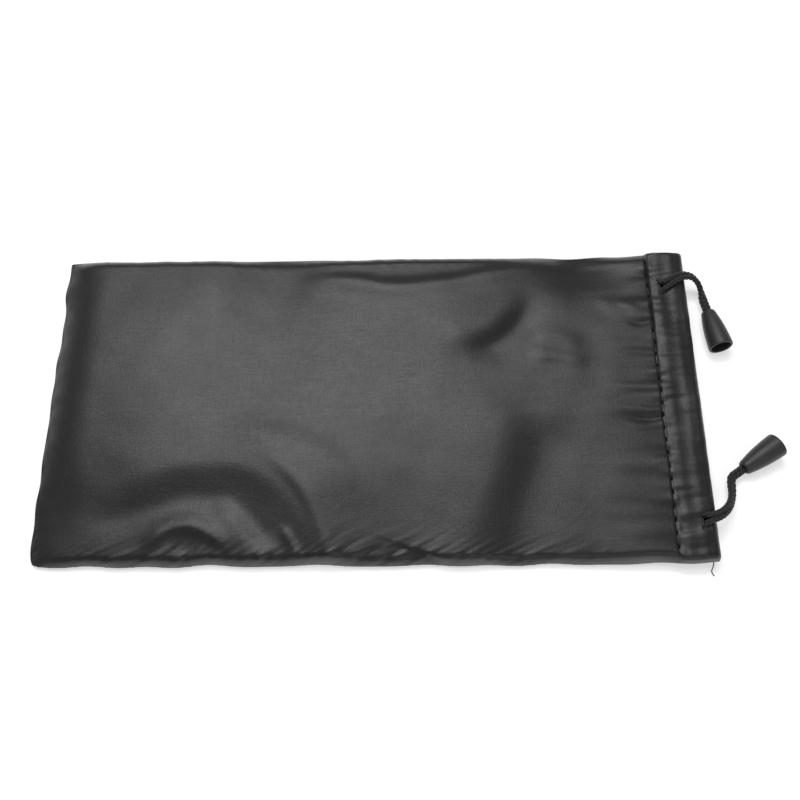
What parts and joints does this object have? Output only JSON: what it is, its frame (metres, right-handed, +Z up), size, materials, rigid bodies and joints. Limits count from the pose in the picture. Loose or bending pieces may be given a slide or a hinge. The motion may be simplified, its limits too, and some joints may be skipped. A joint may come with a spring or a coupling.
{
  "type": "glasses pouch",
  "caption": "Flat soft drawstring pouch for glasses, sewn from cloth panels, with a hemmed mouth and corded pulls that end in bell-shaped caps.",
  "frame": {"origin": "middle of the flat back face, on the surface that the pouch lies on", "axes": "+X from the closed end to the mouth, +Y to the far side, +Z up out of the back face"},
  "size_m": [0.2018, 0.09, 0.0077],
  "materials": {
    "pouch_fabric": "black satin coated taffeta, soft sheen, fine plain weave",
    "sewing_thread": "black spun polyester thread",
    "cord_braid": "black braided polyester cord",
    "bell_plastic": "black moulded plastic, satin"
  },
  "bodies": {
    "pouch": {"back_panel": "pouch_fabric", "front_panel_far_border": "pouch_fabric", "front_panel_near_border": "pouch_fabric", "front_panel_end_border": "pouch_fabric", "far_hem_stitching": "sewing_thread", "near_hem_stitching": "sewing_thread", "back_hem_stitching": "sewing_thread", "far_seam_stitching": "sewing_thread", "near_seam_stitching": "sewing_thread", "end_seam_stitching": "sewing_thread", "far_drawstring_ring": "cord_braid", "far_drawstring_slit_run": "cord_braid", "near_drawstring_ring": "cord_braid", "near_drawstring_slit_run": "cord_braid"},
    "mouth_flap": {"front_panel_flap": "pouch_fabric", "flap_hem_stitching": "sewing_thread", "far_drawstring_flap_run": "cord_braid", "near_drawstring_flap_run": "cord_braid"},
    "far_pull": {"far_strand_inner": "cord_braid", "far_strand_outer": "cord_braid", "far_knot": "cord_braid"},
    "far_cap": {"far_bell": "bell_plastic"},
    "near_pull": {"near_strand_inner": "cord_braid", "near_strand_outer": "cord_braid", "near_knot": "cord_braid"},
    "near_cap": {"near_bell": "bell_plastic"}
  },
  "joints": [
    {"name": "mouth_open", "type": "hinge", "parent": "pouch", "child": "mouth_flap", "pos_m": [-0.084, 0, 0.0032], "axis": [0, -1, 0], "range_deg": [0, 7]},
    {"name": "far_cord_pull", "type": "slide", "parent": "pouch", "child": "far_pull", "axis": [1, 0, 0], "range_m": [0, 0.015]},
    {"name": "near_cord_pull", "type": "slide", "parent": "pouch", "child": "near_pull", "axis": [1, 0, 0], "range_m": [0, 0.015]},
    {"name": "far_bell_slide", "type": "slide", "parent": "far_pull", "child": "far_cap", "axis": [-0.1717, 0.9811, -0.0888], "range_m": [0, 0.002]},
    {"name": "near_bell_slide", "type": "slide", "parent": "near_pull", "child": "near_cap", "axis": [-0.8312, -0.5488, -0.0891], "range_m": [0, 0.002]}
  ]
}
